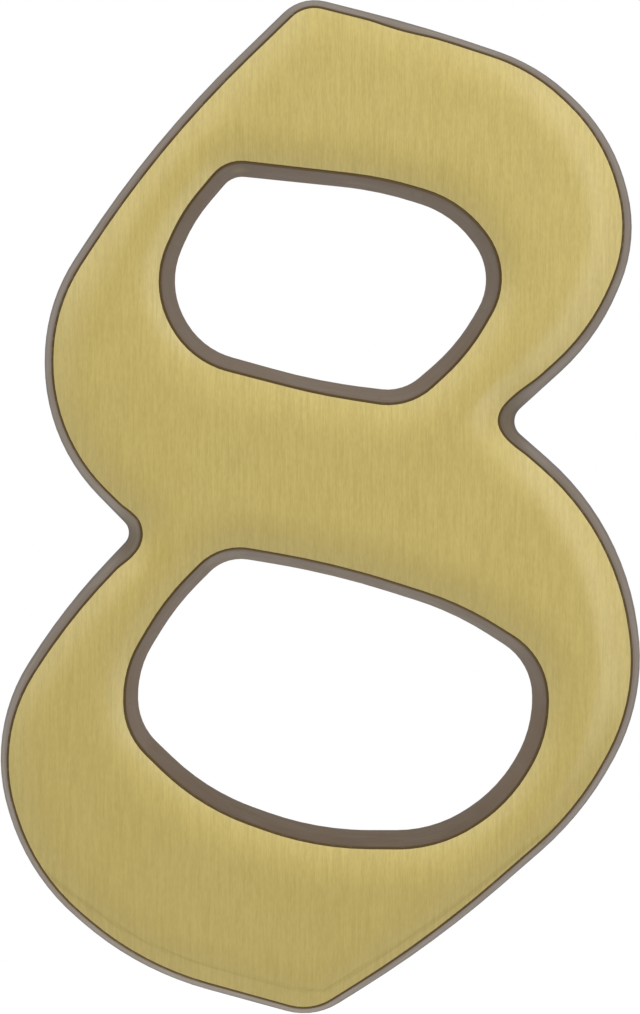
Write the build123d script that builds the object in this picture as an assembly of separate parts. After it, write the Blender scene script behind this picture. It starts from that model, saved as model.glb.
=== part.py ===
from build123d import *
import math
import os

# A house number, the figure eight, in one piece of solid brass.
# The face is flat with a rolled edge, the sides lean inwards all round towards the face,
# and the flat back has two blind tapped holes for hidden studs.
# Millimetres. X runs to the right, Z up, the face looks towards -Y and the back lies in Y = 0.

# Driving dimensions.
figure_height = 120.65
figure_width = 76.2
thickness = 6.35
draft_angle = 13.5
shoulder_radius = 0.45
crown_width = 2.9
crown_drop = 0.7
stud_inset = 11.3
stud_hole_diameter = 3.3
stud_hole_depth = 3.8
drill_point_angle = 118.0

# Limits on the roundings of a moved outline, and how far a counter is cut past the back.
smallest_rounding = 0.15
rounding_share = 0.97
notch_turn = 80.0
notch_growth = 0.45
counter_overlap = 1.0

# The three outlines on the back, drawn by hand as corners with a rounding each: x, z, radius, lean.
# Each one is listed so that the metal lies on the left of the way along it.
# The lean is how much of the plain draft the hand-finished side has at that corner.
outer_corners = [
    (-2.3, 60.9, 5.3, 0.95),
    (-20.2, 43.6, 130.0, 0.9),
    (-32.9, 24.15, 22.0, 0.95),
    (-32.85, 8.0, 22.5, 0.8),
    (-22.2, -2.85, 1.75, 1.05),
    (-30.65, -11.75, 78.0, 0.9),
    (-40.15, -26.75, 21.7, 0.85),
    (-34.95, -43.85, 26.5, 1.0),
    (-21.95, -55.2, 38.0, 1.1),
    (-0.8, -61.0, 7.8, 1.05),
    (13.8, -51.85, 130.0, 1.05),
    (31.6, -36.3, 38.5, 1.05),
    (38.95, -22.4, 25.0, 0.95),
    (36.1, -1.95, 32.5, 0.9),
    (22.05, 10.35, 2.05, 1.0),
    (33.0, 20.3, 27.0, 0.9),
    (37.85, 32.0, 17.5, 0.9),
    (34.8, 44.4, 22.0, 1.1),
    (25.7, 52.65, 23.0, 0.85),
    (13.0, 57.05, 185.0, 0.95),
]
upper_counter_corners = [
    (-10.5, 39.55, 2.8, 0.95),
    (7.0, 37.75, 42.0, 0.8),
    (15.6, 34.95, 12.0, 1.0),
    (21.05, 27.75, 7.0, 1.0),
    (16.15, 19.35, 23.0, 1.05),
    (9.8, 13.9, 5.8, 1.3),
    (0.1, 15.0, 75.0, 0.95),
    (-14.0, 18.95, 9.2, 1.2),
    (-18.5, 26.3, 9.5, 1.0),
    (-15.05, 34.25, 19.5, 0.9),
]
lower_counter_corners = [
    (-11.3, -5.65, 5.2, 1.0),
    (1.3, -7.75, 100.0, 0.95),
    (15.95, -12.4, 36.0, 0.95),
    (25.2, -18.35, 7.3, 1.1),
    (25.25, -26.5, 14.0, 1.0),
    (21.0, -33.5, 17.0, 1.0),
    (13.6, -38.4, 15.0, 1.05),
    (-0.4, -38.4, 36.0, 0.95),
    (-13.5, -33.7, 27.0, 0.95),
    (-21.75, -25.75, 7.2, 0.9),
    (-21.85, -19.15, 11.5, 0.85),
    (-17.15, -11.5, 30.0, 1.0),
]

# The section through the edge, as insets from the outline on the back and levels above the back.
# The side leans in by the draft, an arc turns it over the shoulder, and the crown rolls up to the face.
crown_slope = math.atan(2 * crown_drop / crown_width)
draft = math.radians(draft_angle)
shoulder_turn = math.pi / 2 - draft - crown_slope
shoulder_reach = shoulder_radius * math.tan(shoulder_turn / 2)
sharp_level = thickness - crown_drop - shoulder_reach * math.sin(crown_slope)
sharp_inset = sharp_level * math.tan(draft)
side_top_level = sharp_level - shoulder_reach * math.cos(draft)
side_top_inset = sharp_inset - shoulder_reach * math.sin(draft)
shoulder_top_level = thickness - crown_drop
shoulder_top_inset = sharp_inset + shoulder_reach * math.cos(crown_slope)
face_inset = shoulder_top_inset + crown_width
shoulder_gap = shoulder_radius * (1 / math.cos(shoulder_turn / 2) - 1)
shoulder_lean = (math.pi / 2 - draft + crown_slope) / 2
shoulder_level = sharp_level - shoulder_gap * math.cos(shoulder_lean)
shoulder_inset = sharp_inset + shoulder_gap * math.sin(shoulder_lean)

# Where the stud holes sit above and below the middle.
stud_reach = figure_height / 2 - stud_inset


def edge_of(corners, index):
    """Length and direction of the straight from one corner to the next."""
    x, z = corners[index][:2]
    next_x, next_z = corners[(index + 1) % len(corners)][:2]
    length = math.hypot(next_x - x, next_z - z)
    return length, (next_x - x) / length, (next_z - z) / length


def turn_of(corners, index):
    """Half of the angle turned by at a corner, positive to the left, and the way into the metal there."""
    _, in_x, in_z = edge_of(corners, index - 1)
    _, out_x, out_z = edge_of(corners, index)
    half_turn = math.atan2(in_x * out_z - in_z * out_x, in_x * out_x + in_z * out_z) / 2
    spread = 2 * math.cos(half_turn)
    return half_turn, -(in_z + out_z) / spread, (in_x + out_x) / spread


def roundings_that_fit(corners):
    """The corners with each rounding held to what its two straights have room for."""
    count = len(corners)
    reach = [corners[i][2] * abs(math.tan(turn_of(corners, i)[0])) for i in range(count)]
    fitted = []
    for i, (x, z, radius, lean) in enumerate(corners):
        room_before = edge_of(corners, i - 1)[0] / (reach[i - 1] + reach[i])
        room_after = edge_of(corners, i)[0] / (reach[i] + reach[(i + 1) % count])
        share = min(1.0, rounding_share * room_before, rounding_share * room_after)
        fitted.append((x, z, radius * share, lean))
    return fitted


def moved_in(corners, inset):
    """The corners moved into the metal by an inset of the section, the side's part of it by their lean."""
    side_inset = min(inset, side_top_inset)
    top_inset = inset - side_inset
    moved = []
    for i, (x, z, radius, lean) in enumerate(corners):
        half_turn, inward_x, inward_z = turn_of(corners, i)
        reach = side_inset * lean + top_inset
        # The radius of a sharp notch grows by less than the side leans in.
        is_notch = half_turn < -math.radians(notch_turn / 2)
        growth = reach * notch_growth if is_notch else reach
        moved_radius = max(radius - math.copysign(1.0, half_turn) * growth, smallest_rounding)
        slide = reach / math.cos(half_turn)
        moved.append((x + inward_x * slide, z + inward_z * slide, moved_radius, lean))
    return roundings_that_fit(moved)


def outline(corners, inset, level):
    """A closed outline moved into the metal by an inset, standing at a level above the back."""
    plane = Plane.XZ.offset(level)
    moved = moved_in(corners, inset)
    starts = []
    middles = []
    ends = []
    for i, (x, z, radius, _) in enumerate(moved):
        _, in_x, in_z = edge_of(moved, i - 1)
        _, out_x, out_z = edge_of(moved, i)
        half_turn, inward_x, inward_z = turn_of(moved, i)
        reach = radius * abs(math.tan(half_turn))
        gap = math.copysign(radius * (1 / math.cos(half_turn) - 1), half_turn)
        starts.append((x - in_x * reach, z - in_z * reach))
        middles.append((x + inward_x * gap, z + inward_z * gap))
        ends.append((x + out_x * reach, z + out_z * reach))
    edges = []
    for i in range(len(moved)):
        arc = ThreePointArc(starts[i], middles[i], ends[i])
        straight = Line(ends[i], starts[(i + 1) % len(moved)])
        edges.append(plane * arc)
        edges.append(plane * straight)
    return Wire(edges)


def form_within(corners, overlap):
    """The side, started behind the back by overlap, with the shoulder and the crown on top of it."""
    foot = outline(corners, -overlap * math.tan(draft), -overlap)
    side_top = outline(corners, side_top_inset, side_top_level)
    shoulder = outline(corners, shoulder_inset, shoulder_level)
    shoulder_top = outline(corners, shoulder_top_inset, shoulder_top_level)
    crown = outline(corners, face_inset - crown_width / 2, thickness - crown_drop / 4)
    face = outline(corners, face_inset, thickness)
    form = Solid.make_loft([foot, side_top], ruled=True)
    form += Solid.make_loft([side_top, shoulder, shoulder_top])
    form += Solid.make_loft([shoulder_top, crown, face])
    return form


def drawn_to_size(outlines):
    """The hand-drawn outlines, centred and brought to the height and width of the figure."""
    box = outline(outlines[0], 0.0, 0.0).bounding_box()
    centre = box.center()
    across = figure_width / box.size.X
    along = figure_height / box.size.Z
    sized = []
    for corners in outlines:
        sized.append([
            ((x - centre.X) * across, (z - centre.Z) * along, radius * min(across, along), lean)
            for x, z, radius, lean in corners
        ])
    return sized


outer, upper_counter, lower_counter = drawn_to_size(
    [outer_corners, upper_counter_corners, lower_counter_corners]
)

# The figure: the outer form less the two counters.
figure = form_within(outer, 0.0)
figure -= form_within(upper_counter, counter_overlap)
figure -= form_within(lower_counter, counter_overlap)

# The two blind tapped holes on the middle line of the back, drilled with a pointed drill.
hole_radius = stud_hole_diameter / 2
point_depth = hole_radius / math.tan(math.radians(drill_point_angle / 2))
for stud_z in (stud_reach, -stud_reach):
    mouth = Plane.XZ * Pos(0, stud_z, 0)
    bore = Cylinder(hole_radius, stud_hole_depth, align=(Align.CENTER, Align.CENTER, Align.MIN))
    point = Cone(hole_radius, 0, point_depth, align=(Align.CENTER, Align.CENTER, Align.MIN))
    figure -= mouth * (bore + Pos(0, 0, stud_hole_depth) * point)

os.makedirs("parts", exist_ok=True)
figure.label = "house_number"
export_step(figure, "parts/house_number.step")
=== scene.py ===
"""House number, the figure eight: a satin brass face over dark lacquered sides, on white."""

import logging
import math
from collections.abc import Callable
from dataclasses import dataclass, field
from enum import Enum, IntEnum

import bmesh
import bpy
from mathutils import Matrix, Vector


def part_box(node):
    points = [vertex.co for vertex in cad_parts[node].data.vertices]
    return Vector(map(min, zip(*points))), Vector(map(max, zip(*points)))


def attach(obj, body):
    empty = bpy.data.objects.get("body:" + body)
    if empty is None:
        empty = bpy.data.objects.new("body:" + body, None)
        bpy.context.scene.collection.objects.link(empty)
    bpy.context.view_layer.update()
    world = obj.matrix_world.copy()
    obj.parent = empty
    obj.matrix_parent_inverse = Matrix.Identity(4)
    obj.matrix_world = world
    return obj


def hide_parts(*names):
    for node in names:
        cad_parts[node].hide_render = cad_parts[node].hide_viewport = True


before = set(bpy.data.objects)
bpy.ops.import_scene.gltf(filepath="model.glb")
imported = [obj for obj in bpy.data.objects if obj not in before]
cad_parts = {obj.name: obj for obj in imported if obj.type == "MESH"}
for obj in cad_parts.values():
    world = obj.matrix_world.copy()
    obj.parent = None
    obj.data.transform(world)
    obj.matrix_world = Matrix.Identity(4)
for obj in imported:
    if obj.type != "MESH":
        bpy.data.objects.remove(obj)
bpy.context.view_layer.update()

LOG = logging.getLogger("house_number")
MM = 0.001
NODE = "house_number"
BODY = "root"
UV_NAME = "brush_lines"
Socket = bpy.types.NodeSocket

# Points closer than this are one point, when triangles are merged and when a plane cuts them.
MERGE_SLACK = 0.001 * MM
CUT_SLACK = 0.0005 * MM

# Where a Mix node of colours has its share, its two colours and its result.
MIX_INPUTS = (0, 6, 7)
MIX_RESULT = 2

# A round patch of a finish is full over this share of its reach and fades out over the rest.
PATCH_CORE = 0.25


class Zone(IntEnum):
    """The finishes of the figure, in the order of its material slots."""

    FACE = 0
    SHOULDER = 1
    SIDE = 2
    COUNTER = 3
    BACK = 4


class Axis(Enum):
    """The directions of the figure as it hangs on its wall."""

    RIGHT = (1.0, 0.0, 0.0)
    UP = (0.0, 0.0, 1.0)
    OUT = (0.0, -1.0, 0.0)


def wake(piece: bpy.types.Object) -> None:
    """Makes one object the only selected and active one.

    Args:
        piece: The object to work on.
    """
    if bpy.context.object is not None and bpy.context.object.mode != "OBJECT":
        bpy.ops.object.mode_set(mode="OBJECT")
    bpy.ops.object.select_all(action="DESELECT")
    piece.select_set(True)
    bpy.context.view_layer.objects.active = piece


def apply_modifiers(piece: bpy.types.Object) -> None:
    """Applies every modifier of a piece, in order.

    Args:
        piece: The object whose modifiers become mesh.
    """
    wake(piece)
    for name in [modifier.name for modifier in piece.modifiers]:
        bpy.ops.object.modifier_apply(modifier=name)


class Wiring:
    """Short ways to add and join shader nodes in one node tree."""

    def __init__(self, tree: bpy.types.NodeTree) -> None:
        """Keeps the tree that the nodes go into."""
        self.tree = tree

    def node(self, kind: str, **settings: object) -> bpy.types.Node:
        """Adds a node.

        Args:
            kind: The node's type name.
            settings: Properties of the node to set.

        Returns:
            The new node.
        """
        made = self.tree.nodes.new(kind)
        for name, value in settings.items():
            setattr(made, name, value)
        return made

    def join(self, source: Socket, target: Socket) -> None:
        """Joins an output to an input."""
        self.tree.links.new(source, target)

    def feed(self, target: Socket, value: object) -> None:
        """Gives an input a value, or the output that drives it.

        Args:
            target: The input socket.
            value: A socket, a number or a tuple.
        """
        if isinstance(value, Socket):
            self.join(value, target)
        else:
            target.default_value = value

    def math(self, operation: str, *values: object, clamp: bool = False) -> Socket:
        """A math node.

        Args:
            operation: The operation's name.
            values: Sockets or numbers.
            clamp: Whether the result stays between 0 and 1.

        Returns:
            The result.
        """
        made = self.node("ShaderNodeMath", operation=operation, use_clamp=clamp)
        for socket, value in zip(made.inputs, values):
            self.feed(socket, value)
        return made.outputs[0]

    def vector(self, operation: str, *values: object) -> Socket:
        """A vector math node.

        Args:
            operation: The operation's name.
            values: Sockets or tuples.

        Returns:
            The result, a number for a distance or a dot product and otherwise a vector.
        """
        made = self.node("ShaderNodeVectorMath", operation=operation)
        for socket, value in zip(made.inputs, values):
            self.feed(socket, value)
        return made.outputs["Value" if operation in ("DISTANCE", "DOT_PRODUCT") else "Vector"]

    def split(self, vector: Socket) -> tuple[Socket, ...]:
        """The X, Y and Z parts of a vector."""
        made = self.node("ShaderNodeSeparateXYZ")
        self.join(vector, made.inputs[0])
        return tuple(made.outputs)

    def band(
        self, value: object, low: float, high: float, start: float = 0.0, end: float = 1.0
    ) -> Socket:
        """A smooth step from one value to another.

        Args:
            value: What is stepped.
            low: Where the step begins.
            high: Where the step ends.
            start: The result below the step.
            end: The result above the step.

        Returns:
            The stepped value.
        """
        made = self.node("ShaderNodeMapRange", interpolation_type="SMOOTHSTEP")
        for socket, given in zip(made.inputs, (value, low, high, start, end)):
            self.feed(socket, given)
        return made.outputs[0]

    def patch(
        self, place: Socket, middle: tuple, reach: float, inside: float = 1.0, outside: float = 0.0
    ) -> Socket:
        """A round patch with a soft edge: one value in its middle, another beyond its reach."""
        away = self.vector("DISTANCE", place, middle)
        return self.band(away, reach * PATCH_CORE, reach, inside, outside)

    def blend(self, share: object, first: object, second: object) -> Socket:
        """Blends two colours.

        Args:
            share: How much of the second colour.
            first: The first colour.
            second: The second colour.

        Returns:
            The blended colour.
        """
        made = self.node("ShaderNodeMix", data_type="RGBA", blend_type="MIX")
        for index, value in zip(MIX_INPUTS, (share, first, second)):
            self.feed(made.inputs[index], value)
        return made.outputs[MIX_RESULT]

    def noise(self, vector: Socket, detail: float, roughness: float) -> Socket:
        """A noise whose grains are about one unit wide.

        Args:
            vector: Where the noise is read.
            detail: The noise's detail.
            roughness: The noise's roughness.

        Returns:
            The noise, about 0.5 on average.
        """
        made = self.node("ShaderNodeTexNoise")
        made.inputs["Scale"].default_value = 1.0
        made.inputs["Detail"].default_value = detail
        made.inputs["Roughness"].default_value = roughness
        self.join(vector, made.inputs["Vector"])
        return made.outputs[0]

    def sized_noise(self, place: Socket, sizes: tuple, detail: float, roughness: float) -> Socket:
        """A noise whose grains have a given size along each axis.

        Args:
            place: Object coordinates, in metres.
            sizes: Grain sizes along X, Y and Z, in metres.
            detail: The noise's detail.
            roughness: The noise's roughness.

        Returns:
            The noise, about 0.5 on average.
        """
        mapping = self.node("ShaderNodeMapping")
        mapping.inputs["Scale"].default_value = tuple(1.0 / size for size in sizes)
        self.join(place, mapping.inputs["Vector"])
        return self.noise(mapping.outputs[0], detail, roughness)

    def bump(self, height: Socket, strength: float, depth: float) -> Socket:
        """A bump from a height.

        Args:
            height: The height, between 0 and 1.
            strength: How much the bump shows.
            depth: How deep it is, in metres.

        Returns:
            The bumped normal.
        """
        made = self.node("ShaderNodeBump")
        made.inputs["Strength"].default_value = strength
        made.inputs["Distance"].default_value = depth
        self.join(height, made.inputs["Height"])
        return made.outputs[0]


@dataclass(frozen=True)
class GrainLayer:
    """One layer of brush lines: shares of the line width and length, and where its noise starts."""

    widen: float
    lengthen: float
    offset: float


@dataclass(frozen=True)
class BrushedGrain:
    """The brushed grain that the face and the back share, as a shader node group."""

    name: str = "brushed_grain"
    short_lines: GrainLayer = GrainLayer(1.0, 0.8, 0.0)
    long_lines: GrainLayer = GrainLayer(2.4, 5.0, 7.3)
    single_lines: GrainLayer = GrainLayer(1.7, 3.5, 3.1)
    detail: float = 2.0
    roughness: float = 0.6
    pale_band: tuple = (0.62, 0.74)
    dark_band: tuple = (0.26, 0.38)
    drift_sizes: tuple = (9.0 * MM, 9.0 * MM, 26.0 * MM)
    drift_roughness: float = 0.5

    def group(self) -> bpy.types.NodeTree:
        """Builds the group.

        Returns:
            The group. It takes Place, Line Width and Line Length, and gives Grain, Drift and Lines.
        """
        group = bpy.data.node_groups.new(self.name, "ShaderNodeTree")
        group.interface.new_socket("Place", in_out="INPUT", socket_type="NodeSocketVector")
        for name in ("Line Width", "Line Length"):
            group.interface.new_socket(name, in_out="INPUT", socket_type="NodeSocketFloat")
        for name in ("Grain", "Drift", "Lines"):
            group.interface.new_socket(name, in_out="OUTPUT", socket_type="NodeSocketFloat")
        wiring = Wiring(group)
        given = wiring.node("NodeGroupInput")
        result = wiring.node("NodeGroupOutput")
        both = wiring.math(
            "ADD",
            self.layer_noise(wiring, given, self.short_lines),
            self.layer_noise(wiring, given, self.long_lines),
        )
        wiring.join(wiring.math("MULTIPLY", both, 0.5), result.inputs["Grain"])
        drift = wiring.sized_noise(
            given.outputs["Place"], self.drift_sizes, self.detail, self.drift_roughness
        )
        wiring.join(drift, result.inputs["Drift"])
        single = self.layer_noise(wiring, given, self.single_lines)
        pale = wiring.band(single, *self.pale_band)
        dark = wiring.band(single, *self.dark_band, 1.0, 0.0)
        wiring.join(wiring.math("SUBTRACT", pale, dark), result.inputs["Lines"])
        return group

    def layer_noise(self, wiring: Wiring, given: bpy.types.Node, layer: GrainLayer) -> Socket:
        """The noise of one layer, drawn out along the height.

        Args:
            wiring: The group's wiring.
            given: The group's inputs.
            layer: The layer.

        Returns:
            The noise.
        """
        per_width = wiring.math("DIVIDE", 1.0, given.outputs["Line Width"])
        per_length = wiring.math("DIVIDE", 1.0, given.outputs["Line Length"])
        across = wiring.math("DIVIDE", per_width, layer.widen)
        along = wiring.math("DIVIDE", per_length, layer.lengthen)
        scale = wiring.node("ShaderNodeCombineXYZ")
        for socket, part in zip(scale.inputs, (across, along, along)):
            wiring.join(part, socket)
        start = (layer.offset, layer.offset, layer.offset)
        placed = wiring.vector("MULTIPLY_ADD", given.outputs["Place"], scale.outputs[0], start)
        return wiring.noise(placed, self.detail, self.roughness)


@dataclass(frozen=True)
class Blank:
    """A new material with its wiring and shader, and the place and direction of its surface."""

    material: bpy.types.Material
    wiring: Wiring
    shader: bpy.types.Node
    place: Socket
    normal: Socket


def new_material(name: str) -> Blank:
    """An empty material with its Principled shader.

    Args:
        name: The material's name.

    Returns:
        The material, and the nodes that a finish starts from.
    """
    material = bpy.data.materials.new(name)
    material.use_nodes = True
    material.node_tree.nodes.clear()
    wiring = Wiring(material.node_tree)
    output = wiring.node("ShaderNodeOutputMaterial")
    shader = wiring.node("ShaderNodeBsdfPrincipled")
    wiring.join(shader.outputs[0], output.inputs["Surface"])
    surface = wiring.node("ShaderNodeTexCoord")
    return Blank(material, wiring, shader, surface.outputs["Object"], surface.outputs["Normal"])


@dataclass(frozen=True)
class DullShadedSpot:
    """A place that the polishing wheel did not reach, with less coat, and a painted shade on its
    colour.
    """

    place: tuple
    reach: float
    coat: float
    shade: float


@dataclass(frozen=True)
class BrushedBrass:
    """Brass with fine brush lines along the height of the figure.

    The rubbed, burnished and stained colours follow one another down the rolled edge. Each has a
    band of how squarely the surface faces the front or the back. The rubbed and burnished colours
    are paler brass that also carries a painted sheen. A painted reflection line runs along the
    lowest edge, and painted shade darkens the face lower down.
    """

    name: str
    colour: tuple = (0.535, 0.428, 0.135, 1.0)
    warm: tuple = (0.531, 0.422, 0.129, 1.0)
    rubbed_sheen: tuple = (0.538, 0.437, 0.147, 1.0)
    burnished_sheen: tuple = (0.54, 0.442, 0.168, 1.0)
    stained: tuple = (0.12, 0.085, 0.03, 1.0)
    rubbed_sheen_band: tuple = (0.962, 0.998)
    burnished_sheen_band: tuple = (0.9635, 0.9705)
    stained_band: tuple = (0.9642, 0.9658)
    roughness: float = 0.62
    roughness_spread: float = 0.04
    anisotropy: float = 0.5
    line_width: float = 0.125 * MM
    line_length: float = 1.1 * MM
    grain_band: tuple = (0.3, 0.7)
    contrast: float = 0.048
    line_contrast: float = 0.04
    streak_and_shade_powers: tuple = (1.0, 1.05, 1.6)
    bump: float = 0.02
    coat: float = 1.0
    coat_roughness: float = 0.2
    # Painted reflection: a dark line near the lowest edge of the face.
    reflection_line_tilt: float = 0.152
    reflection_line_width: float = 0.016
    reflection_line_turn: float = 0.165
    reflection_line_dark: float = 0.11
    reflection_line_top: float = -30.0 * MM
    reflection_line_fade: float = 8.0 * MM
    # Painted shade: the face a little darker lower down and lighter higher up.
    painted_shade_fall_off: float = 0.3
    # Dull spots thin the coat and paint a little shade on the colour.
    dull_shaded_spots: tuple = (
        DullShadedSpot((21.3 * MM, -6.0 * MM, 8.4 * MM), 5.0 * MM, 0.7, 0.98),
        DullShadedSpot((-19.9 * MM, -6.0 * MM, -4.6 * MM), 3.5 * MM, 0.6, 0.98),
    )

    def material(self, grain: bpy.types.NodeTree) -> bpy.types.Material:
        """Builds the material.

        Args:
            grain: The shared grain group.

        Returns:
            The finished material.
        """
        blank = new_material(self.name)
        wiring = blank.wiring
        shader = blank.shader
        lines = wiring.node("ShaderNodeGroup", node_tree=grain)
        lines.inputs["Line Width"].default_value = self.line_width
        lines.inputs["Line Length"].default_value = self.line_length
        wiring.join(blank.place, lines.inputs["Place"])
        streaks_and_shade, coat = self.dulled_and_shaded(blank, self.streaks_and_shade(blank, lines))
        shade = wiring.node("ShaderNodeCombineXYZ")
        for socket, power in zip(shade.inputs, self.streak_and_shade_powers):
            wiring.join(wiring.math("POWER", streaks_and_shade, power), socket)
        shaded = wiring.vector("MULTIPLY", self.tinted(blank, lines), shade.outputs[0])
        wiring.join(shaded, shader.inputs["Base Color"])
        shader.inputs["Metallic"].default_value = 1.0
        spread = (self.roughness + self.roughness_spread, self.roughness - self.roughness_spread)
        rough = wiring.band(lines.outputs["Grain"], *self.grain_band, *spread)
        wiring.join(rough, shader.inputs["Roughness"])
        shader.inputs["Anisotropic"].default_value = self.anisotropy
        across = wiring.node("ShaderNodeTangent", direction_type="UV_MAP", uv_map=UV_NAME)
        wiring.join(across.outputs[0], shader.inputs["Tangent"])
        wiring.feed(shader.inputs["Coat Weight"], coat)
        shader.inputs["Coat Roughness"].default_value = self.coat_roughness
        bumped = wiring.bump(lines.outputs["Grain"], self.bump, self.line_width)
        wiring.join(bumped, shader.inputs["Normal"])
        return blank.material

    def tinted(self, blank: Blank, lines: bpy.types.Node) -> Socket:
        """The brass's own colour, which changes slowly over the face and again on the rolled edge,
        where the paler tints carry a painted sheen.

        Args:
            blank: The new material.
            lines: The grain group's node.

        Returns:
            The colour without the brush lines.
        """
        wiring = blank.wiring
        drift = wiring.band(lines.outputs["Drift"], *self.grain_band)
        colour = wiring.blend(drift, self.colour, self.warm)
        _, out, _ = wiring.split(blank.normal)
        squareness = wiring.math("ABSOLUTE", out)
        # Paler tints that carry a painted sheen, then the stained dark edge.
        for band, tint in (
            (self.rubbed_sheen_band, self.rubbed_sheen),
            (self.burnished_sheen_band, self.burnished_sheen),
            (self.stained_band, self.stained),
        ):
            colour = wiring.blend(wiring.band(squareness, *band, 1.0, 0.0), colour, tint)
        return colour

    def streaks_and_shade(self, blank: Blank, lines: bpy.types.Node) -> Socket:
        """The brush lines, the painted reflection line and the painted shade.

        Args:
            blank: The new material.
            lines: The grain group's node.

        Returns:
            A factor on the colour, about 1.
        """
        wiring = blank.wiring
        span = (1.0 - self.contrast, 1.0 + self.contrast)
        grain = wiring.band(lines.outputs["Grain"], *self.grain_band, *span)
        lined = wiring.math("MULTIPLY_ADD", lines.outputs["Lines"], self.line_contrast, grain)
        return wiring.math("MULTIPLY", lined, self.painted_reflection_and_shade(blank))

    def painted_reflection_and_shade(self, blank: Blank) -> Socket:
        """A painted reflection line along the lowest edge, and painted shade that darkens the face
        lower down.

        Args:
            blank: The new material.

        Returns:
            A factor on the colour, about 1.
        """
        wiring = blank.wiring
        _, _, height = wiring.split(blank.place)
        right, _, up = wiring.split(blank.normal)
        low_down = wiring.band(height, self.reflection_line_top - self.reflection_line_fade, self.reflection_line_top, 1.0, 0.0)
        tilt = wiring.math("MULTIPLY_ADD", wiring.math("MAXIMUM", right, 0.0), self.reflection_line_turn, up)
        away = wiring.math("ABSOLUTE", wiring.math("ADD", tilt, self.reflection_line_tilt))
        # Painted reflection: a dark line where the rolled edge turns down by a set tilt.
        painted_line = wiring.band(away, 0.0, self.reflection_line_width, -self.reflection_line_dark, 0.0)
        # Painted shade that darkens the face lower down.
        level = wiring.math("MULTIPLY_ADD", height, self.painted_shade_fall_off, 1.0)
        return wiring.math("ADD", wiring.math("MULTIPLY", painted_line, low_down), level)

    def dulled_and_shaded(self, blank: Blank, streaks_and_shade: Socket) -> tuple[Socket, object]:
        """Thins the coat at the dull spots, and paints shade on the colour there.

        Args:
            blank: The new material.
            streaks_and_shade: The factor on the colour so far.

        Returns:
            The factor with the painted shade of the spots in it, and the weight of the coat.
        """
        wiring = blank.wiring
        coat = self.coat
        for spot in self.dull_shaded_spots:
            # Painted shade on the colour at the spot.
            shade = wiring.patch(blank.place, spot.place, spot.reach, spot.shade, 1.0)
            streaks_and_shade = wiring.math("MULTIPLY", streaks_and_shade, shade)
            left = wiring.patch(blank.place, spot.place, spot.reach, spot.coat, 1.0)
            coat = wiring.math("MULTIPLY", left, coat)
        return streaks_and_shade, coat


@dataclass(frozen=True)
class WallLightPaint:
    """Painted light or painted shade on the lacquer of the walls that face one way, below a height.

    It starts to show where a wall faces that way by a first share, and is full at a second one.
    """

    way: tuple
    start: float
    full: float
    top: float
    colour: tuple


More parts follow.
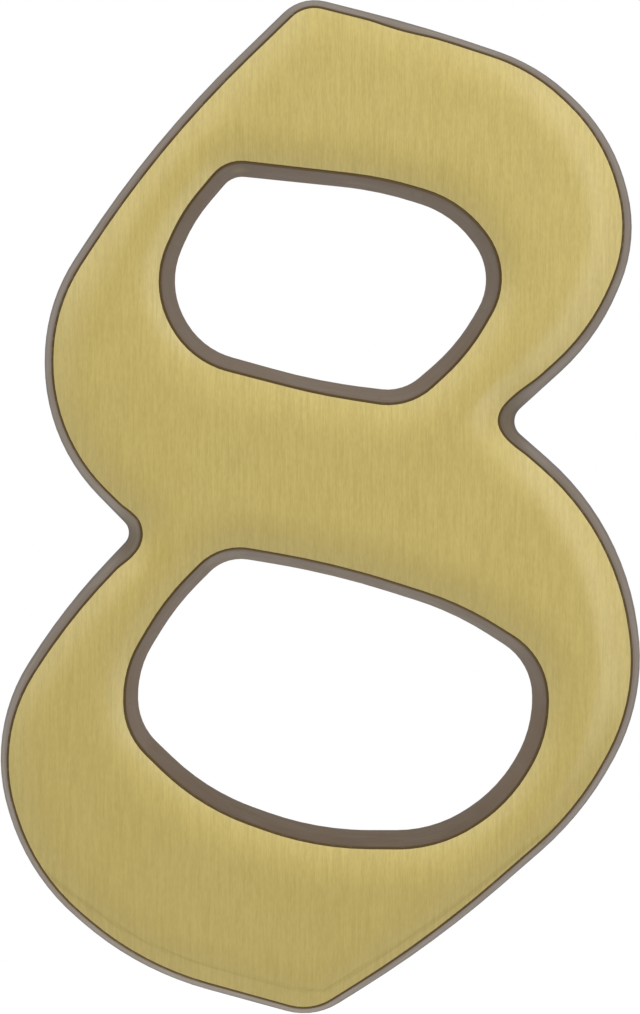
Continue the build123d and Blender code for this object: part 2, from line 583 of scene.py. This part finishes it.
@dataclass(frozen=True)
class BrownLacquer:
    """Dark brown lacquer, baked on the sides and the shoulder.

    It is darker towards the face and towards the back, darker and rougher in the notches of the
    outline, and worn in one corner of the upper counter. Walls that face some ways get painted
    light or painted shade.
    """

    name: str
    colour: tuple = (0.115, 0.072, 0.036, 1.0)
    thin: tuple = (0.128, 0.083, 0.045, 1.0)
    face_dark: tuple = (0.088, 0.055, 0.022, 1.0)
    worn: tuple = (0.17, 0.118, 0.038, 1.0)
    notch_colour: tuple = (0.102, 0.061, 0.012, 1.0)
    back_dark: tuple = (0.05, 0.03, 0.012, 1.0)
    roughness: float = 0.45
    roughness_spread: tuple = (-0.04, 0.05)
    specular: float = 0.37
    cloud_sizes: tuple = (5.0 * MM, 0.9 * MM, 5.0 * MM)
    cloud_detail: float = 4.0
    thin_band: tuple = (0.35, 0.7)
    rough_band: tuple = (0.3, 0.7)
    grain_sizes: tuple = (0.25 * MM, 0.25 * MM, 0.25 * MM)
    grain_detail: float = 3.0
    noise_roughness: float = 0.6
    bump: float = 0.12
    bump_depth: float = 0.05 * MM
    face_dark_start: float = -2.6 * MM
    face_dark_end: float = -5.4 * MM
    back_dark_reach: float = 2.6 * MM
    back_share: float = 1.0
    worn_place: tuple = (-9.4 * MM, -2.9 * MM, 39.4 * MM)
    worn_reach: float = 1.6 * MM
    notches: tuple = ((21.9 * MM, 0.0, 10.5 * MM), (-21.8 * MM, 0.0, -3.0 * MM))
    notch_reach: float = 5.0 * MM
    notch_dull: float = 0.08
    # Painted light on the walls that face down and to the left.
    painted_wall_lights: tuple = (
        WallLightPaint((-0.4, 0.0, -0.92), 0.3, 0.95, 80.0 * MM, (0.145, 0.098, 0.045, 1.0)),
    )
    wall_paint_fade: float = 4.0 * MM

    def material(self) -> bpy.types.Material:
        """Builds the material.

        Returns:
            The finished material.
        """
        blank = new_material(self.name)
        wiring = blank.wiring
        shader = blank.shader
        cloud = wiring.sized_noise(
            blank.place, self.cloud_sizes, self.cloud_detail, self.noise_roughness
        )
        colour = wiring.blend(wiring.band(cloud, *self.thin_band), self.colour, self.thin)
        spread = (self.roughness + change for change in self.roughness_spread)
        rough = wiring.band(cloud, *self.rough_band, *spread)
        seen_from_front = wiring.vector("MULTIPLY", blank.place, (1.0, 0.0, 1.0))
        # Darker and rougher in the notches.
        for notch in self.notches:
            near = wiring.patch(seen_from_front, notch, self.notch_reach)
            colour = wiring.blend(near, colour, self.notch_colour)
            rough = wiring.math("MULTIPLY_ADD", near, self.notch_dull, rough)
        colour = self.darkened_with_painted_light(blank, colour)
        worn = wiring.patch(blank.place, self.worn_place, self.worn_reach)
        wiring.join(wiring.blend(worn, colour, self.worn), shader.inputs["Base Color"])
        shader.inputs["Specular IOR Level"].default_value = self.specular
        wiring.join(rough, shader.inputs["Roughness"])
        grains = wiring.sized_noise(
            blank.place, self.grain_sizes, self.grain_detail, self.noise_roughness
        )
        wiring.join(wiring.bump(grains, self.bump, self.bump_depth), shader.inputs["Normal"])
        return blank.material

    def darkened_with_painted_light(self, blank: Blank, colour: Socket) -> Socket:
        """Darkens the lacquer towards the face and the back, and paints light or shade on the walls
        that face some ways.

        Args:
            blank: The new material.
            colour: The colour so far.

        Returns:
            The changed colour.
        """
        wiring = blank.wiring
        _, depth, height = wiring.split(blank.place)
        # Darker towards the face.
        near_face = wiring.band(depth, self.face_dark_end, self.face_dark_start, 1.0, 0.0)
        colour = wiring.blend(near_face, colour, self.face_dark)
        # Painted light or painted shade on the walls that face each listed way.
        for wall_paint in self.painted_wall_lights:
            facing = wiring.vector("DOT_PRODUCT", blank.normal, wall_paint.way)
            turned = wiring.band(facing, wall_paint.start, wall_paint.full)
            below = wiring.band(height, wall_paint.top - self.wall_paint_fade, wall_paint.top, 1.0, 0.0)
            colour = wiring.blend(wiring.math("MULTIPLY", turned, below), colour, wall_paint.colour)
        # Darker towards the back.
        foot = wiring.band(depth, -self.back_dark_reach, 0.0, 0.0, self.back_share)
        return wiring.blend(foot, colour, self.back_dark)


@dataclass(frozen=True)
class FiledSpot:
    """A place on the upper edge of the side where the file took off a little more.

    The place and the way into the metal are each given as X and Z.
    """

    place: tuple
    way: tuple
    depth: float
    reach: float


@dataclass
class Figure:
    """The figure itself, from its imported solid: face rolled finer, holes threaded, a few spots filed.

    A counter box has a lower left and an upper right corner, each given as X and Z.
    """

    crown_width: float = 5.0 * MM
    crown_drop: float = 0.7 * MM
    shoulder_height: float = 0.13 * MM
    lip_width: float = 0.1 * MM
    side_height: float = 5.35 * MM
    filed_step: float = 0.5 * MM
    filed_levels: int = 5
    filed_spots: tuple = (
        FiledSpot((22.7 * MM, 13.3 * MM), (-0.67, 0.74), 0.3 * MM, 4.0 * MM),
        FiledSpot((22.7 * MM, 7.7 * MM), (-0.67, -0.74), 0.12 * MM, 2.2 * MM),
        FiledSpot((21.3 * MM, 10.4 * MM), (-1.0, 0.0), 0.22 * MM, 2.4 * MM),
        FiledSpot((-22.2 * MM, -5.4 * MM), (0.7, -0.7), 0.23 * MM, 2.3 * MM),
        FiledSpot((-21.9 * MM, -0.6 * MM), (0.7, 0.7), 0.2 * MM, 2.1 * MM),
        FiledSpot((9.6 * MM, 56.3 * MM), (-0.27, -0.96), 0.2 * MM, 4.5 * MM),
    )
    rim_step: float = 0.3 * MM
    rim_steps: int = 9
    face_cell: float = 0.6 * MM
    smooth_angle: float = math.radians(30.0)
    level_slack: float = 0.005 * MM
    counter_boxes: tuple = (
        ((-20.0 * MM, 12.5 * MM), (22.0 * MM, 41.0 * MM)),
        ((-18.0 * MM, -12.0 * MM), (26.8 * MM, -4.5 * MM)),
        ((-23.0 * MM, -40.0 * MM), (26.8 * MM, -12.0 * MM)),
    )
    stud_reach: float = 49.025 * MM
    bore_radius: float = 1.65 * MM
    bore_depth: float = 3.8 * MM
    thread_pitch: float = 0.7 * MM
    thread_depth: float = 0.35 * MM
    cuts_per_pitch: int = 8
    run_in_cuts: int = 3
    bore_tilt: float = 0.1
    filed_facing: float = -0.3
    flat_angle: float = math.radians(0.5)
    piece: bpy.types.Object = field(init=False)
    low: Vector = field(init=False)
    high: Vector = field(init=False)
    edge_level: float = field(init=False)

    def __post_init__(self) -> None:
        """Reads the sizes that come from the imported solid."""
        self.low, self.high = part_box(NODE)
        self.edge_level = self.low.y + self.crown_drop

    def build(self) -> bpy.types.Object:
        """Models the figure.

        Returns:
            The finished piece.
        """
        self.copy_solid()
        self.mark_zones()
        for centre in (self.stud_reach, -self.stud_reach):
            self.tap_hole(centre)
        for spot in self.filed_spots:
            self.file_edge(spot)
        self.open_face()
        rims = self.fill_face()
        self.ring_rims()
        self.cut_cells()
        self.roll_edges(rims)
        self.smooth()
        return self.piece

    def copy_solid(self) -> None:
        """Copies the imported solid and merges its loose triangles."""
        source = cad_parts[NODE]
        self.piece = bpy.data.objects.new("brass_figure", source.data.copy())
        bpy.context.scene.collection.objects.link(self.piece)
        self.piece.data.materials.clear()
        for finish in self.finishes().values():
            self.piece.data.materials.append(finish)
        wake(self.piece)
        bpy.ops.object.mode_set(mode="EDIT")
        bpy.ops.mesh.select_all(action="SELECT")
        bpy.ops.mesh.customdata_custom_splitnormals_clear()
        bpy.ops.mesh.remove_doubles(threshold=MERGE_SLACK)
        bpy.ops.object.mode_set(mode="OBJECT")

    def select_faces(self, test: Callable[[bmesh.types.BMFace], bool]) -> int:
        """Selects the faces that pass a test, in edit mode.

        Args:
            test: A function of a face that says whether it is selected.

        Returns:
            How many faces were selected.
        """
        bpy.ops.mesh.select_mode(type="FACE")
        bpy.ops.mesh.select_all(action="DESELECT")
        shape = bmesh.from_edit_mesh(self.piece.data)
        chosen = [face for face in shape.faces if not face.hide and test(face)]
        for face in chosen:
            face.select_set(True)
        shape.select_flush_mode()
        bmesh.update_edit_mesh(self.piece.data)
        return len(chosen)

    def show_only(self, test: Callable[[bmesh.types.BMFace], bool]) -> int:
        """Hides all but the faces that pass a test, and joins their triangles, in edit mode.

        Args:
            test: A function of a face that says whether it stays in view.

        Returns:
            How many faces passed.
        """
        count = self.select_faces(test)
        bpy.ops.mesh.hide(unselected=True)
        bpy.ops.mesh.select_all(action="SELECT")
        bpy.ops.mesh.tris_convert_to_quads()
        return count

    @staticmethod
    def cut(place: Vector | tuple, way: Vector | tuple) -> None:
        """Cuts all the faces in view with a plane through a place, square to a way, in edit mode."""
        bpy.ops.mesh.select_all(action="SELECT")
        bpy.ops.mesh.bisect(plane_co=place, plane_no=way, threshold=CUT_SLACK)

    def assign(self, zone: Zone) -> None:
        """Gives the selected faces a finish, in edit mode."""
        self.piece.active_material_index = zone
        bpy.ops.object.material_slot_assign()

    def in_bore(self, corner: bmesh.types.BMVert, centre: float) -> bool:
        """Whether a vertex lies in one stud hole."""
        reach = math.hypot(corner.co.x, corner.co.z - centre)
        return reach < self.bore_radius + self.thread_pitch and corner.co.y > self.edge_level

    @staticmethod
    def within(place: Vector, low: tuple, high: tuple) -> bool:
        """Whether a place lies between two corners, each given as X and Z."""
        return low[0] < place.x < high[0] and low[1] < place.z < high[1]

    def mark_zones(self) -> None:
        """Gives the sides, the shoulder, the back and the holes their finishes."""
        back_level = self.high.y - self.level_slack
        shoulder_level = self.edge_level + self.shoulder_height
        bpy.ops.object.mode_set(mode="EDIT")
        bpy.ops.mesh.select_all(action="SELECT")
        self.assign(Zone.SIDE)
        for low, high in self.counter_boxes:
            self.select_faces(lambda face: self.within(face.calc_center_median(), low, high))
            self.assign(Zone.COUNTER)
        self.select_faces(lambda face: all(corner.co.y < shoulder_level for corner in face.verts))
        self.assign(Zone.SHOULDER)
        self.select_faces(lambda face: all(corner.co.y > back_level for corner in face.verts))
        self.assign(Zone.BACK)
        for centre in (self.stud_reach, -self.stud_reach):
            self.select_faces(lambda face: all(self.in_bore(corner, centre) for corner in face.verts))
            self.assign(Zone.BACK)
        bpy.ops.object.mode_set(mode="OBJECT")

    def tap_hole(self, centre: float) -> None:
        """Cuts a screw thread into the wall of one stud hole.

        Args:
            centre: The height of the hole's middle.
        """
        floor_level = self.high.y - self.bore_depth
        step = self.thread_pitch / self.cuts_per_pitch
        bpy.ops.object.mode_set(mode="EDIT")
        count = self.show_only(
            lambda face: all(self.in_bore(corner, centre) for corner in face.verts)
            and abs(face.normal.y) < self.bore_tilt
        )
        for index in range(1, math.ceil(self.bore_depth / step)):
            self.cut((0.0, self.high.y - index * step, centre), Axis.OUT.value)
        shape = bmesh.from_edit_mesh(self.piece.data)
        for corner in [corner for corner in shape.verts if not corner.hide]:
            depth = self.high.y - corner.co.y
            angle = math.atan2(corner.co.z - centre, corner.co.x)
            phase = (depth / self.thread_pitch + angle / math.tau) % 1.0
            from_back = depth / step / self.run_in_cuts
            from_floor = (corner.co.y - floor_level) / self.thread_pitch
            run_in = max(0.0, min(1.0, from_back, from_floor))
            groove = self.thread_depth * (1.0 - abs(2.0 * phase - 1.0)) * run_in
            corner.co.x += groove * math.cos(angle)
            corner.co.z += groove * math.sin(angle)
        bmesh.update_edit_mesh(self.piece.data)
        bpy.ops.mesh.reveal(select=False)
        bpy.ops.object.mode_set(mode="OBJECT")
        LOG.info("thread cut into a wall of %d triangles", count)

    def file_edge(self, spot: FiledSpot) -> None:
        """Eases the upper edge of the side into the metal at one place.

        Args:
            spot: The place, and how far the edge goes in.
        """
        middle = Vector((spot.place[0], 0.0, spot.place[1]))
        inward = Vector((spot.way[0], 0.0, spot.way[1])).normalized()
        along = inward.cross(Vector(Axis.OUT.value))
        bpy.ops.object.mode_set(mode="EDIT")
        self.show_only(
            lambda face: face.normal.dot(inward) < self.filed_facing
            and any(self.reach_of(corner, middle) < 2 * spot.reach for corner in face.verts)
        )
        for station in self.long_gaps(middle, along):
            self.cut(middle + along * station, along)
        for level in range(1, self.filed_levels):
            rise = self.side_height * level / self.filed_levels
            self.cut(Vector(Axis.OUT.value) * rise, Axis.OUT.value)
        bpy.ops.mesh.reveal(select=False)
        shape = bmesh.from_edit_mesh(self.piece.data)
        for corner in shape.verts:
            away = self.reach_of(corner, middle) / spot.reach
            rise = min(1.0, -corner.co.y / self.side_height)
            if away < 1.0:
                corner.co += inward * (spot.depth * rise * (1.0 - away * away) ** 2)
        bmesh.update_edit_mesh(self.piece.data)
        bpy.ops.object.mode_set(mode="OBJECT")

    @staticmethod
    def reach_of(corner: bmesh.types.BMVert, middle: Vector) -> float:
        """How far a vertex is from a place, seen from the front."""
        return math.hypot(corner.co.x - middle.x, corner.co.z - middle.z)

    def long_gaps(self, middle: Vector, along: Vector) -> list[float]:
        """Finds where the shown part of the upper edge needs more points, in edit mode.

        Args:
            middle: Where distances along the edge are measured from.
            along: The way along the edge.

        Returns:
            Distances that divide each long straight into even steps.
        """
        shape = bmesh.from_edit_mesh(self.piece.data)
        stations = sorted(
            along.dot(corner.co - middle)
            for corner in shape.verts
            if not corner.hide and abs(corner.co.y - self.edge_level) < self.level_slack
        )
        wanted = []
        for start, end in zip(stations, stations[1:]):
            count = math.floor((end - start) / self.filed_step)
            wanted.extend(start + (end - start) * index / count for index in range(1, count))
        return wanted

    def above_edge(self, face: bmesh.types.BMFace) -> bool:
        """Whether a face lies on the rolled face, above the shoulder."""
        return all(corner.co.y < self.edge_level + self.level_slack for corner in face.verts)

    def open_face(self) -> None:
        """Takes the coarse face off, down to the shoulder."""
        wake(self.piece)
        bpy.ops.object.mode_set(mode="EDIT")
        count = self.select_faces(self.above_edge)
        bpy.ops.mesh.delete(type="FACE")
        LOG.info("coarse face of %d triangles opened", count)

    def fill_face(self) -> list[bpy.types.Object]:
        """Closes the figure with one flat sheet at the shoulder.

        Returns:
            The three rims of the sheet, as edge loops of their own.
        """
        bpy.ops.mesh.select_mode(type="EDGE")
        bpy.ops.mesh.select_all(action="DESELECT")
        bpy.ops.mesh.select_non_manifold(
            extend=False, use_wire=False, use_boundary=True,
            use_multi_face=False, use_non_contiguous=False, use_verts=False,
        )
        bpy.ops.mesh.fill(use_beauty=True)
        bpy.ops.mesh.dissolve_limited(angle_limit=self.flat_angle)
        self.select_faces(self.above_edge)
        bpy.ops.mesh.region_to_loop()
        bpy.ops.mesh.mark_sharp()
        bpy.ops.mesh.duplicate()
        bpy.ops.mesh.separate(type="SELECTED")
        bpy.ops.object.mode_set(mode="OBJECT")
        rims = [other for other in bpy.context.selected_objects if other is not self.piece]
        wake(rims[0])
        bpy.ops.object.mode_set(mode="EDIT")
        bpy.ops.mesh.select_all(action="SELECT")
        bpy.ops.mesh.separate(type="LOOSE")
        bpy.ops.object.mode_set(mode="OBJECT")
        rims = list(bpy.context.selected_objects)
        LOG.info("sheet closed over %d rims", len(rims))
        return rims

    def ring_rims(self) -> None:
        """Lays a few even rings of faces along the rims of the sheet."""
        wake(self.piece)
        bpy.ops.object.mode_set(mode="EDIT")
        self.select_faces(self.above_edge)
        self.assign(Zone.SHOULDER)
        bpy.ops.mesh.inset(thickness=self.lip_width, depth=0.0, use_relative_offset=False)
        self.assign(Zone.FACE)
        for _ in range(self.rim_steps):
            bpy.ops.mesh.inset(thickness=self.rim_step, depth=0.0, use_relative_offset=False)
        bpy.ops.mesh.hide(unselected=True)
        bpy.ops.object.mode_set(mode="OBJECT")

    def cut_cells(self) -> None:
        """Cuts the sheet inside the rings into small square cells with straight cuts both ways."""
        wake(self.piece)
        bpy.ops.object.mode_set(mode="EDIT")
        for axis, start, end in (
            (Axis.RIGHT, self.low.x, self.high.x),
            (Axis.UP, self.low.z, self.high.z),
        ):
            direction = Vector(axis.value)
            for step in range(1, math.ceil((end - start) / self.face_cell)):
                self.cut(direction * (start + step * self.face_cell), direction)
        bpy.ops.mesh.reveal(select=False)
        bpy.ops.object.mode_set(mode="OBJECT")

    def roll_edges(self, rims: list[bpy.types.Object]) -> None:
        """Raises the sheet to the face and rolls it down towards each rim.

        Args:
            rims: The edge loops that the sheet ends at.
        """
        wake(self.piece)
        bpy.ops.object.mode_set(mode="EDIT")
        self.select_faces(self.above_edge)
        for name in ["sheet"] + [rim.name for rim in rims]:
            self.piece.vertex_groups.active_index = self.piece.vertex_groups.new(name=name).index
            bpy.ops.object.vertex_group_assign()
        bpy.ops.object.mode_set(mode="OBJECT")
        for rim in rims:
            near = self.piece.modifiers.new("near", "VERTEX_WEIGHT_PROXIMITY")
            near.vertex_group = rim.name
            near.target = rim
            near.proximity_mode = "GEOMETRY"
            near.proximity_geometry = {"EDGE"}
            near.min_dist = self.crown_width
            near.max_dist = 0.0
            near.falloff_type = "SHARP"
        shifts = {"sheet": -self.crown_drop}
        shifts.update({rim.name: self.crown_drop for rim in rims})
        for name, strength in shifts.items():
            shift = self.piece.modifiers.new("shift", "DISPLACE")
            shift.direction = "Y"
            shift.mid_level = 0.0
            shift.strength = strength
            shift.vertex_group = name
        apply_modifiers(self.piece)
        self.piece.vertex_groups.clear()
        for rim in rims:
            bpy.data.objects.remove(rim)

    def smooth(self) -> None:
        """Smooths the shading, keeps true edges sharp, and lays out the way of the brush lines."""
        wake(self.piece)
        bpy.ops.object.shade_smooth_by_angle(angle=self.smooth_angle)
        self.piece.data.uv_layers.new(name=UV_NAME)
        bpy.ops.object.mode_set(mode="EDIT")
        bpy.ops.mesh.select_all(action="SELECT")
        bpy.ops.uv.cube_project(cube_size=self.high.z - self.low.z)
        bpy.ops.object.mode_set(mode="OBJECT")

    def finishes(self) -> dict[Zone, bpy.types.Material]:
        """The finish of each zone.

        Returns:
            The materials, in the order of the slots.
        """
        grain = BrushedGrain().group()
        return {
            Zone.FACE: BrushedBrass("satin_brass_face").material(grain),
            Zone.SHOULDER: BrownLacquer(
                "dark_lacquer_shoulder",
                face_dark=(0.078, 0.049, 0.015, 1.0),
                specular=0.12,
                roughness=0.55,
            ).material(),
            Zone.SIDE: BrownLacquer("brown_lacquer_sides").material(),
            Zone.COUNTER: BrownLacquer(
                "brown_lacquer_counters",
                specular=0.23,
                roughness=0.5,
                face_dark_start=-5.2 * MM,
                back_share=0.1,
                # Painted light on the walls that face down below 6 mm, and painted shade on the walls
                # that face up below -20 mm.
                painted_wall_lights=(
                    WallLightPaint((0.0, 0.0, -1.0), 0.5, 0.9, 6.0 * MM, (0.15, 0.108, 0.068, 1.0)),
                    WallLightPaint((0.0, 0.0, 1.0), 0.5, 0.9, -20.0 * MM, (0.094, 0.06, 0.03, 1.0)),
                ),
            ).material(),
            Zone.BACK: BrushedBrass(
                "milled_brass_back",
                colour=(0.5, 0.39, 0.15, 1.0),
                warm=(0.45, 0.34, 0.12, 1.0),
                stained=(0.5, 0.39, 0.15, 1.0),
                roughness=0.45,
                dull_shaded_spots=(),
            ).material(grain),
        }


@dataclass(frozen=True)
class Lamp:
    """A large soft lamp that looks at the figure: place and size in metres, power in watts."""

    name: str
    place: tuple
    size: tuple
    power: float

    def hang(self) -> None:
        """Hangs the lamp, unseen by the camera itself."""
        data = bpy.data.lights.new(self.name, "AREA")
        data.shape = "RECTANGLE"
        data.size, data.size_y = self.size
        data.energy = self.power
        lamp = bpy.data.objects.new(self.name, data)
        lamp.visible_camera = False
        lamp.location = self.place
        lamp.rotation_euler = (-Vector(self.place)).to_track_quat("-Z", "Y").to_euler()
        bpy.context.scene.collection.objects.link(lamp)


@dataclass
class Studio:
    """Camera, light and floor for a figure seen straight on.

    The heights are pairs of degrees above the level and how bright the dome is there.
    """

    camera_place: tuple = (1.45 * MM, -434.0 * MM, 12.1 * MM)
    camera_aim: tuple = (-0.01 * MM, 0.0, 0.19 * MM)
    lens: float = 129.5
    sensor: float = 36.0
    nearest: float = 0.01
    farthest: float = 20.0
    floor_gap: float = 100.0 * MM
    floor_size: float = 0.8
    floor_front: float = -110.0 * MM
    floor_colour: tuple = (0.9, 0.9, 0.9, 1.0)
    floor_roughness: float = 0.8
    white: tuple = (1.0, 1.0, 1.0, 1.0)
    heights: tuple = (
        (-90.0, 0.76), (-45.0, 0.77), (-20.0, 0.81), (0.0, 0.88),
        (15.0, 0.96), (30.0, 1.12), (45.0, 1.3), (90.0, 1.32),
    )
    right_gain: float = 0.05
    glow_towards: tuple = (-0.36, -0.86, 0.36)
    glow_band: tuple = (0.93, 0.992)
    glow_gain: float = 1.15
    arc_towards: tuple = (-0.64, 0.0, -0.77)
    arc_outer: tuple = (0.75, 0.84)
    arc_inner: tuple = (0.89, 0.95)
    arc_fade: tuple = (0.0, 0.15)
    arc_gain: float = 0.45
    ring_band: tuple = (0.1, 0.35)
    ring_gain: float = 0.7
    backdrop_band: tuple = (0.0, 0.4)
    lamps: tuple = (
        Lamp("key_lamp", (0.12, -0.215, 0.06), (0.12, 0.29), 0.11),
        Lamp("strip_lamp", (0.5, -1.38, 0.15), (0.27, 1.3), 1.16),
        Lamp("top_lamp", (-0.39, -0.67, 0.78), (0.6, 0.6), 0.5),
    )

    def build(self, low: Vector) -> None:
        """Sets the studio up.

        Args:
            low: The lowest corner of the figure.
        """
        self.make_camera()
        self.make_world()
        self.make_floor(low.z - self.floor_gap)
        for lamp in self.lamps:
            lamp.hang()
        bpy.context.scene.view_settings.view_transform = "Standard"
        LOG.info("studio with %d lamps", len(self.lamps))

    def make_camera(self) -> None:
        """Stands the camera where the photograph was taken from."""
        data = bpy.data.cameras.new("camera")
        data.sensor_width = self.sensor
        data.lens = self.lens
        data.clip_start = self.nearest
        data.clip_end = self.farthest
        camera = bpy.data.objects.new("camera", data)
        camera.location = self.camera_place
        sight = Vector(self.camera_aim) - Vector(self.camera_place)
        camera.rotation_euler = sight.to_track_quat("-Z", "Y").to_euler()
        bpy.context.scene.collection.objects.link(camera)
        bpy.context.scene.camera = camera

    def make_world(self) -> None:
        """A soft dome that lights the figure, and a white backdrop that the camera sees."""
        world = bpy.data.worlds.new("studio_dome")
        bpy.context.scene.world = world
        world.use_nodes = True
        world.node_tree.nodes.clear()
        wiring = Wiring(world.node_tree)
        output = wiring.node("ShaderNodeOutputWorld")
        ways = wiring.node("ShaderNodeTexCoord").outputs["Generated"]
        dome = wiring.node("ShaderNodeBackground")
        wiring.join(self.dome_level(wiring, ways), dome.inputs["Strength"])
        backdrop = wiring.node("ShaderNodeBackground")
        backdrop.inputs["Color"].default_value = self.white
        mix = wiring.node("ShaderNodeMixShader")
        wiring.join(self.backdrop_share(wiring, ways), mix.inputs[0])
        wiring.join(dome.outputs[0], mix.inputs[1])
        wiring.join(backdrop.outputs[0], mix.inputs[2])
        wiring.join(mix.outputs[0], output.inputs["Surface"])

    def backdrop_share(self, wiring: Wiring, ways: Socket) -> Socket:
        """Where the backdrop shows: to the camera, and in reflections of what is behind the figure.

        Args:
            wiring: The dome's wiring.
            ways: The way looked.

        Returns:
            How much of the backdrop shows.
        """
        rays = wiring.node("ShaderNodeLightPath")
        _, back, _ = wiring.split(ways)
        mirrored = wiring.math(
            "ADD", rays.outputs["Is Glossy Ray"], rays.outputs["Is Transmission Ray"]
        )
        behind = wiring.math("MULTIPLY", mirrored, wiring.band(back, *self.backdrop_band))
        return wiring.math("ADD", rays.outputs["Is Camera Ray"], behind, clamp=True)

    def dome_level(self, wiring: Wiring, ways: Socket) -> Socket:
        """How bright the dome is: by height, with a glow, an arc, and a ring in the wall's plane.

        Args:
            wiring: The dome's wiring.
            ways: The way looked.

        Returns:
            The level.
        """
        right, back, up = wiring.split(ways)
        level = wiring.math("MULTIPLY_ADD", right, self.right_gain, self.height_level(wiring, up))
        facing = wiring.vector("DOT_PRODUCT", ways, Vector(self.glow_towards).normalized())
        level = wiring.math("ADD", level, wiring.band(facing, *self.glow_band, 0.0, self.glow_gain))
        level = wiring.math("ADD", level, self.arc_level(wiring, ways, back))
        ring = wiring.band(wiring.math("ABSOLUTE", back), *self.ring_band, self.ring_gain, 0.0)
        return wiring.math("ADD", level, ring)

    def arc_level(self, wiring: Wiring, ways: Socket, back: Socket) -> Socket:
        """A faint arc of light in front, low down and to the left, off the table and the wall.

        Args:
            wiring: The dome's wiring.
            ways: The way looked.
            back: The backward part of the way looked.

        Returns:
            What the arc adds to the dome.
        """
        front = wiring.math("MULTIPLY", back, -1.0)
        outer = wiring.band(front, *self.arc_outer)
        inner = wiring.band(front, *self.arc_inner, 1.0, 0.0)
        facing = wiring.vector("DOT_PRODUCT", ways, self.arc_towards)
        side = wiring.band(facing, *self.arc_fade, 0.0, self.arc_gain)
        return wiring.math("MULTIPLY", wiring.math("MULTIPLY", outer, inner), side)

    def height_level(self, wiring: Wiring, up: Socket) -> Socket:
        """How bright the dome is at each height.

        Args:
            wiring: The dome's wiring.
            up: The upward part of the way looked.

        Returns:
            The level.
        """
        brightest = max(level for _, level in self.heights)
        ramp = wiring.node("ShaderNodeValToRGB")
        stops = ramp.color_ramp.elements
        while len(stops) < len(self.heights):
            stops.new(0.5)
        for stop, (height, level) in zip(stops, self.heights):
            shade = level / brightest
            stop.position = (math.sin(math.radians(height)) + 1.0) / 2.0
            stop.color = (shade, shade, shade, 1.0)
        wiring.join(wiring.math("MULTIPLY_ADD", up, 0.5, 0.5), ramp.inputs[0])
        return wiring.math("MULTIPLY", ramp.outputs[0], brightest)

    def make_floor(self, level: float) -> None:
        """Lays a pale floor below the figure.

        Args:
            level: The floor's height.
        """
        middle = self.floor_front + self.floor_size / 2
        bpy.ops.object.select_all(action="DESELECT")
        bpy.ops.mesh.primitive_plane_add(size=self.floor_size, location=(0.0, middle, level))
        floor = bpy.context.object
        floor.name = "floor"
        blank = new_material("pale_floor")
        blank.shader.inputs["Base Color"].default_value = self.floor_colour
        blank.shader.inputs["Roughness"].default_value = self.floor_roughness
        floor.data.materials.append(blank.material)


def main() -> None:
    """Builds the figure and its studio."""
    logging.basicConfig(level=logging.INFO, format="%(name)s: %(message)s")
    figure = Figure()
    piece = figure.build()
    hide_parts(NODE)
    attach(piece, BODY)
    LOG.info("figure with %d faces", len(piece.data.polygons))
    Studio().build(figure.low)


if __name__ == "__main__":
    main()
